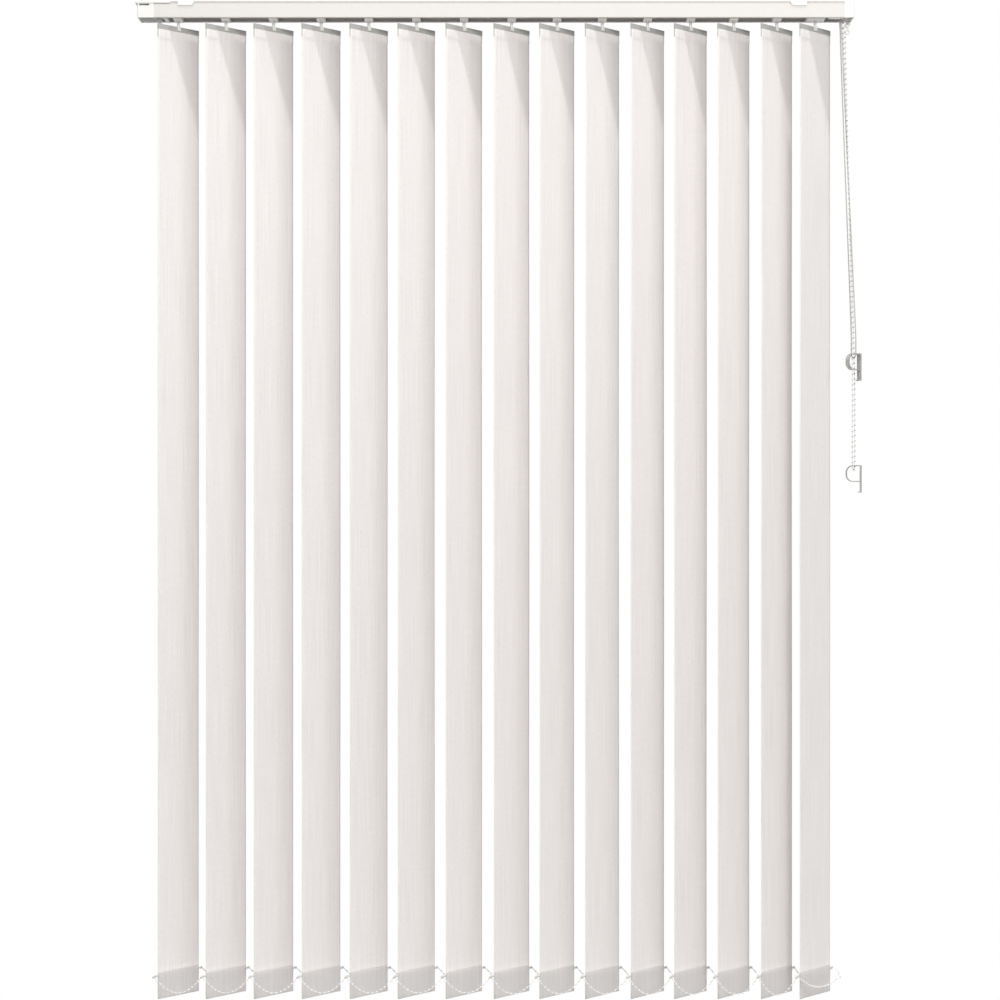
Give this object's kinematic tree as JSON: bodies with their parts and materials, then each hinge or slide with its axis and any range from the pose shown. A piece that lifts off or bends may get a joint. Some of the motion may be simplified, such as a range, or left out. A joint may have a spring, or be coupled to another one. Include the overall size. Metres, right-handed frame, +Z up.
{
  "type": "vertical blind",
  "caption": "Vertical blind with fabric vanes on carriers that slide and turn in a ceiling headrail, worked by a cord and a bead chain.",
  "frame": {"origin": "on the ceiling plane that the bracket plates are screwed to, at the middle of the rail", "axes": "+X along the rail to the control end, -Y to the room, +Z up"},
  "size_m": [1.2196, 0.0794, 1.67],
  "materials": {
    "headrail": "satin",
    "ceiling_brackets": "satin",
    "tilt_rod": "satin",
    "housing": "matte",
    "carrier": "matte",
    "hanger": "matte",
    "wheel": "matte",
    "vane": "woven",
    "cord": "braided",
    "chain": "gloss",
    "tensioner": "clear"
  },
  "bodies": {
    "rail": {"headrail": "headrail", "ceiling_brackets": "ceiling_brackets", "return_housing": "housing", "control_housing": "housing", "carrier_01": "carrier", "traverse_cord": "cord", "tilt_chain": "chain", "cord_tensioner": "tensioner", "chain_tensioner": "tensioner"},
    "rod": {"tilt_rod": "tilt_rod", "chain_wheel": "wheel"},
    "return_pulley": {"return_pulley": "wheel"},
    "cord_pulley_front": {"cord_pulley_front": "wheel"},
    "cord_pulley_back": {"cord_pulley_back": "wheel"},
    "chain_row_front": {"bottom_chain_front": "chain"},
    "chain_row_back": {"bottom_chain_back": "chain"},
    "vane_01": {"hanger_01": "hanger", "vane_01": "vane"},
    "carrier_02": {"carrier_02": "carrier"},
    "vane_02": {"hanger_02": "hanger", "vane_02": "vane"},
    "carrier_03": {"carrier_03": "carrier"},
    "vane_03": {"hanger_03": "hanger", "vane_03": "vane"},
    "carrier_04": {"carrier_04": "carrier"},
    "vane_04": {"hanger_04": "hanger", "vane_04": "vane"},
    "carrier_05": {"carrier_05": "carrier"},
    "vane_05": {"hanger_05": "hanger", "vane_05": "vane"},
    "carrier_06": {"carrier_06": "carrier"},
    "vane_06": {"hanger_06": "hanger", "vane_06": "vane"},
    "carrier_07": {"carrier_07": "carrier"},
    "vane_07": {"hanger_07": "hanger", "vane_07": "vane"},
    "carrier_08": {"carrier_08": "carrier"},
    "vane_08": {"hanger_08": "hanger", "vane_08": "vane"},
    "carrier_09": {"carrier_09": "carrier"},
    "vane_09": {"hanger_09": "hanger", "vane_09": "vane"},
    "carrier_10": {"carrier_10": "carrier"},
    "vane_10": {"hanger_10": "hanger", "vane_10": "vane"},
    "carrier_11": {"carrier_11": "carrier"},
    "vane_11": {"hanger_11": "hanger", "vane_11": "vane"},
    "carrier_12": {"carrier_12": "carrier"},
    "vane_12": {"hanger_12": "hanger", "vane_12": "vane"},
    "carrier_13": {"carrier_13": "carrier"},
    "vane_13": {"hanger_13": "hanger", "vane_13": "vane"},
    "carrier_14": {"carrier_14": "carrier"},
    "vane_14": {"hanger_14": "hanger", "vane_14": "vane"},
    "carrier_15": {"carrier_15": "carrier"},
    "vane_15": {"hanger_15": "hanger", "vane_15": "vane"}
  },
  "joints": [
    {"name": "tilt_01", "type": "hinge", "parent": "rail", "child": "vane_01", "pos_m": [-0.534, 0, -0.04], "axis": [0, 0, 1], "range_deg": [-25, 109]},
    {"name": "traverse_02", "type": "slide", "parent": "rail", "child": "carrier_02", "axis": [1, 0, 0], "range_m": [-0.0646, 0.0005]},
    {"name": "tilt_02", "type": "hinge", "parent": "carrier_02", "child": "vane_02", "pos_m": [-0.4539, 0, -0.04], "axis": [0, 0, 1], "range_deg": [-26, 110]},
    {"name": "traverse_03", "type": "slide", "parent": "rail", "child": "carrier_03", "axis": [1, 0, 0], "range_m": [-0.1287, 0.0005]},
    {"name": "tilt_03", "type": "hinge", "parent": "carrier_03", "child": "vane_03", "pos_m": [-0.3738, 0, -0.04], "axis": [0, 0, 1], "range_deg": [-26, 110]},
    {"name": "traverse_04", "type": "slide", "parent": "rail", "child": "carrier_04", "axis": [1, 0, 0], "range_m": [-0.1928, 0.0005]},
    {"name": "tilt_04", "type": "hinge", "parent": "carrier_04", "child": "vane_04", "pos_m": [-0.2937, 0, -0.04], "axis": [0, 0, 1], "range_deg": [-26, 110]},
    {"name": "traverse_05", "type": "slide", "parent": "rail", "child": "carrier_05", "axis": [1, 0, 0], "range_m": [-0.2569, 0.0005]},
    {"name": "tilt_05", "type": "hinge", "parent": "carrier_05", "child": "vane_05", "pos_m": [-0.2136, 0, -0.04], "axis": [0, 0, 1], "range_deg": [-26, 110]},
    {"name": "traverse_06", "type": "slide", "parent": "rail", "child": "carrier_06", "axis": [1, 0, 0], "range_m": [-0.321, 0.0005]},
    {"name": "tilt_06", "type": "hinge", "parent": "carrier_06", "child": "vane_06", "pos_m": [-0.1335, 0, -0.04], "axis": [0, 0, 1], "range_deg": [-26, 110]},
    {"name": "traverse_07", "type": "slide", "parent": "rail", "child": "carrier_07", "axis": [1, 0, 0], "range_m": [-0.3851, 0.0005]},
    {"name": "tilt_07", "type": "hinge", "parent": "carrier_07", "child": "vane_07", "pos_m": [-0.0534, 0, -0.04], "axis": [0, 0, 1], "range_deg": [-26, 110]},
    {"name": "traverse_08", "type": "slide", "parent": "rail", "child": "carrier_08", "axis": [1, 0, 0], "range_m": [-0.4492, 0.0005]},
    {"name": "tilt_08", "type": "hinge", "parent": "carrier_08", "child": "vane_08", "pos_m": [0.0267, 0, -0.04], "axis": [0, 0, 1], "range_deg": [-26, 110]},
    {"name": "traverse_09", "type": "slide", "parent": "rail", "child": "carrier_09", "axis": [1, 0, 0], "range_m": [-0.5094, 0.0005]},
    {"name": "tilt_09", "type": "hinge", "parent": "carrier_09", "child": "vane_09", "pos_m": [0.1029, 0, -0.04], "axis": [0, 0, 1], "range_deg": [-26, 110]},
    {"name": "traverse_10", "type": "slide", "parent": "rail", "child": "carrier_10", "axis": [1, 0, 0], "range_m": [-0.5696, 0.0005]},
    {"name": "tilt_10", "type": "hinge", "parent": "carrier_10", "child": "vane_10", "pos_m": [0.1791, 0, -0.04], "axis": [0, 0, 1], "range_deg": [-26, 110]},
    {"name": "traverse_11", "type": "slide", "parent": "rail", "child": "carrier_11", "axis": [1, 0, 0], "range_m": [-0.6298, 0.0005]},
    {"name": "tilt_11", "type": "hinge", "parent": "carrier_11", "child": "vane_11", "pos_m": [0.2553, 0, -0.04], "axis": [0, 0, 1], "range_deg": [-26, 110]},
    {"name": "traverse_12", "type": "slide", "parent": "rail", "child": "carrier_12", "axis": [1, 0, 0], "range_m": [-0.6862, 0.0005]},
    {"name": "tilt_12", "type": "hinge", "parent": "carrier_12", "child": "vane_12", "pos_m": [0.3277, 0, -0.04], "axis": [0, 0, 1], "range_deg": [-26, 110]},
    {"name": "traverse_13", "type": "slide", "parent": "rail", "child": "carrier_13", "axis": [1, 0, 0], "range_m": [-0.7426, 0.0005]},
    {"name": "tilt_13", "type": "hinge", "parent": "carrier_13", "child": "vane_13", "pos_m": [0.4001, 0, -0.04], "axis": [0, 0, 1], "range_deg": [-26, 110]},
    {"name": "traverse_14", "type": "slide", "parent": "rail", "child": "carrier_14", "axis": [1, 0, 0], "range_m": [-0.799, 0.0005]},
    {"name": "tilt_14", "type": "hinge", "parent": "carrier_14", "child": "vane_14", "pos_m": [0.4725, 0, -0.04], "axis": [0, 0, 1], "range_deg": [-26, 110]},
    {"name": "traverse", "type": "slide", "parent": "rail", "child": "carrier_15", "axis": [1, 0, 0], "range_m": [-0.83935, 0], "deforming": ["bottom_chain_front", "bottom_chain_back"]},
    {"name": "tilt_15", "type": "hinge", "parent": "carrier_15", "child": "vane_15", "pos_m": [0.5371, 0, -0.04], "axis": [0, 0, 1], "range_deg": [-26, 110]},
    {"name": "rod_spin", "type": "hinge", "parent": "rail", "child": "rod", "pos_m": [0, 0, -0.017], "axis": [1, 0, 0], "range_deg": [-240, 962]},
    {"name": "return_pulley_spin", "type": "hinge", "parent": "rail", "child": "return_pulley", "pos_m": [-0.584, 0, -0.013], "axis": [0, 0, 1], "range_deg": [-6930.1, 5]},
    {"name": "cord_pulley_front_spin", "type": "hinge", "parent": "rail", "child": "cord_pulley_front", "pos_m": [0.5745, -0.0075, -0.0185], "axis": [0, 1, 0], "range_deg": [-9448.4, 5]},
    {"name": "cord_pulley_back_spin", "type": "hinge", "parent": "rail", "child": "cord_pulley_back", "pos_m": [0.5745, 0.0075, -0.0185], "axis": [0, 1, 0], "range_deg": [-5, 9448.4]},
    {"name": "chain_row_front_swing", "type": "hinge", "parent": "vane_01", "child": "chain_row_front", "pos_m": [-0.56846, -0.03827, -1.6308], "axis": [0, 0, 1], "range_deg": [-110, 26]},
    {"name": "chain_row_back_swing", "type": "hinge", "parent": "vane_01", "child": "chain_row_back", "pos_m": [-0.49954, 0.03827, -1.6308], "axis": [0, 0, 1], "range_deg": [-110, 26]}
  ],
  "couplings": [
    {"joint": "traverse_02", "follows": "traverse", "ratio": 0.076369},
    {"joint": "tilt_02", "follows": "tilt_01", "ratio": 1},
    {"joint": "traverse_03", "follows": "traverse", "ratio": 0.15274},
    {"joint": "tilt_03", "follows": "tilt_01", "ratio": 1},
    {"joint": "traverse_04", "follows": "traverse", "ratio": 0.22911},
    {"joint": "tilt_04", "follows": "tilt_01", "ratio": 1},
    {"joint": "traverse_05", "follows": "traverse", "ratio": 0.30547},
    {"joint": "tilt_05", "follows": "tilt_01", "ratio": 1},
    {"joint": "traverse_06", "follows": "traverse", "ratio": 0.38184},
    {"joint": "tilt_06", "follows": "tilt_01", "ratio": 1},
    {"joint": "traverse_07", "follows": "traverse", "ratio": 0.45821},
    {"joint": "tilt_07", "follows": "tilt_01", "ratio": 1},
    {"joint": "traverse_08", "follows": "traverse", "ratio": 0.53458},
    {"joint": "tilt_08", "follows": "tilt_01", "ratio": 1},
    {"joint": "traverse_09", "follows": "traverse", "ratio": 0.6063},
    {"joint": "tilt_09", "follows": "tilt_01", "ratio": 1},
    {"joint": "traverse_10", "follows": "traverse", "ratio": 0.67802},
    {"joint": "tilt_10", "follows": "tilt_01", "ratio": 1},
    {"joint": "traverse_11", "follows": "traverse", "ratio": 0.74975},
    {"joint": "tilt_11", "follows": "tilt_01", "ratio": 1},
    {"joint": "traverse_12", "follows": "traverse", "ratio": 0.81694},
    {"joint": "tilt_12", "follows": "tilt_01", "ratio": 1},
    {"joint": "traverse_13", "follows": "traverse", "ratio": 0.88414},
    {"joint": "tilt_13", "follows": "tilt_01", "ratio": 1},
    {"joint": "traverse_14", "follows": "traverse", "ratio": 0.95133},
    {"joint": "tilt_14", "follows": "tilt_01", "ratio": 1},
    {"joint": "tilt_15", "follows": "tilt_01", "ratio": 1},
    {"joint": "rod_spin", "follows": "tilt_01", "ratio": 8},
    {"joint": "return_pulley_spin", "follows": "traverse", "rad_per_m": 133.33},
    {"joint": "cord_pulley_front_spin", "follows": "traverse", "rad_per_m": 181.82},
    {"joint": "cord_pulley_back_spin", "follows": "traverse", "rad_per_m": -181.82},
    {"joint": "chain_row_front_swing", "follows": "tilt_01", "ratio": -1},
    {"joint": "chain_row_back_swing", "follows": "tilt_01", "ratio": -1}
  ]
}
